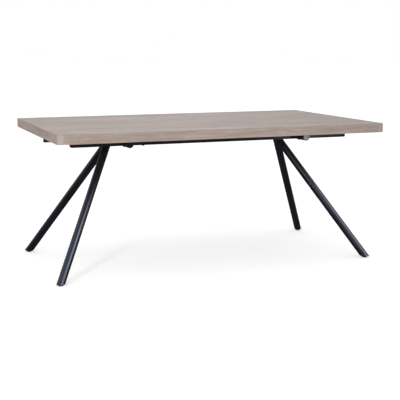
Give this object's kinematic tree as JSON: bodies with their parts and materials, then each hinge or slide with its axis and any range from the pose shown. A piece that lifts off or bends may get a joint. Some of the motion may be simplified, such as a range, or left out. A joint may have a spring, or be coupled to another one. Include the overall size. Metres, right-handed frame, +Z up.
{
  "type": "extendable dining table",
  "caption": "Dining table with a fixed oak top on splayed round legs; box-section arms pull out of guide rails at each end to carry a loose leaf.",
  "frame": {"origin": "on the floor under the middle of the top", "axes": "+X along the table to its right end, +Y to its back, +Z up"},
  "size_m": [1.8, 1.05, 0.77],
  "materials": {
    "oak_top": "whitewashed oak face, brushed, matt lacquer",
    "oak_edge": "whitewashed oak edging, matt lacquer",
    "board": "raw particle board",
    "black_steel": "satin black powder coat",
    "cap_plastic": "black moulded plastic",
    "foot_plastic": "black moulded plastic",
    "nylon": "natural nylon",
    "leaf_rubber": "black rubber",
    "bolt_steel": "blackened steel",
    "fastener_steel": "zinc-plated steel"
  },
  "bodies": {
    "table": {"back_guide_rail": "black_steel", "back_left_cross_tube": "black_steel", "back_left_foot_plug": "foot_plastic", "back_left_leg": "black_steel", "back_left_levelling_glide": "foot_plastic", "back_left_outrigger": "black_steel", "back_left_tube_plug": "cap_plastic", "back_lipping": "oak_edge", "back_right_cross_tube": "black_steel", "back_right_foot_plug": "foot_plastic", "back_right_leg": "black_steel", "back_right_levelling_glide": "foot_plastic", "back_right_outrigger": "black_steel", "back_right_tube_plug": "cap_plastic", "backing_sheet": "board", "bolt_spacers": "fastener_steel", "centre_spine": "black_steel", "core_board": "board", "fixing_lugs": "black_steel", "front_guide_rail": "black_steel", "front_left_cross_tube": "black_steel", "front_left_foot_plug": "foot_plastic", "front_left_leg": "black_steel", "front_left_levelling_glide": "foot_plastic", "front_left_outrigger": "black_steel", "front_left_tube_plug": "cap_plastic", "front_lipping": "oak_edge", "front_right_cross_tube": "black_steel", "front_right_foot_plug": "foot_plastic", "front_right_leg": "black_steel", "front_right_levelling_glide": "foot_plastic", "front_right_outrigger": "black_steel", "front_right_tube_plug": "cap_plastic", "left_end_lipping": "oak_edge", "left_leg_plate": "black_steel", "leg_bolts": "bolt_steel", "mouth_glides": "nylon", "oak_face_sheet": "oak_top", "right_end_lipping": "oak_edge", "right_leg_plate": "black_steel", "spine_plugs": "cap_plastic", "stop_bolts": "bolt_steel", "threaded_inserts": "fastener_steel", "wood_screws": "fastener_steel"},
    "front_left_support": {"front_left_arm": "black_steel", "front_left_arm_cap": "cap_plastic", "front_left_rear_glide": "nylon", "front_left_leaf_pads": "leaf_rubber"},
    "back_left_support": {"back_left_arm": "black_steel", "back_left_arm_cap": "cap_plastic", "back_left_rear_glide": "nylon", "back_left_leaf_pads": "leaf_rubber"},
    "front_right_support": {"front_right_arm": "black_steel", "front_right_arm_cap": "cap_plastic", "front_right_rear_glide": "nylon", "front_right_leaf_pads": "leaf_rubber"},
    "back_right_support": {"back_right_arm": "black_steel", "back_right_arm_cap": "cap_plastic", "back_right_rear_glide": "nylon", "back_right_leaf_pads": "leaf_rubber"}
  },
  "joints": [
    {"name": "front_left_arm_slide", "type": "slide", "parent": "table", "child": "front_left_support", "axis": [-1, 0, 0], "range_m": [0, 0.35]},
    {"name": "back_left_arm_slide", "type": "slide", "parent": "table", "child": "back_left_support", "axis": [-1, 0, 0], "range_m": [0, 0.35]},
    {"name": "front_right_arm_slide", "type": "slide", "parent": "table", "child": "front_right_support", "axis": [1, 0, 0], "range_m": [0, 0.35]},
    {"name": "back_right_arm_slide", "type": "slide", "parent": "table", "child": "back_right_support", "axis": [1, 0, 0], "range_m": [0, 0.35]}
  ]
}
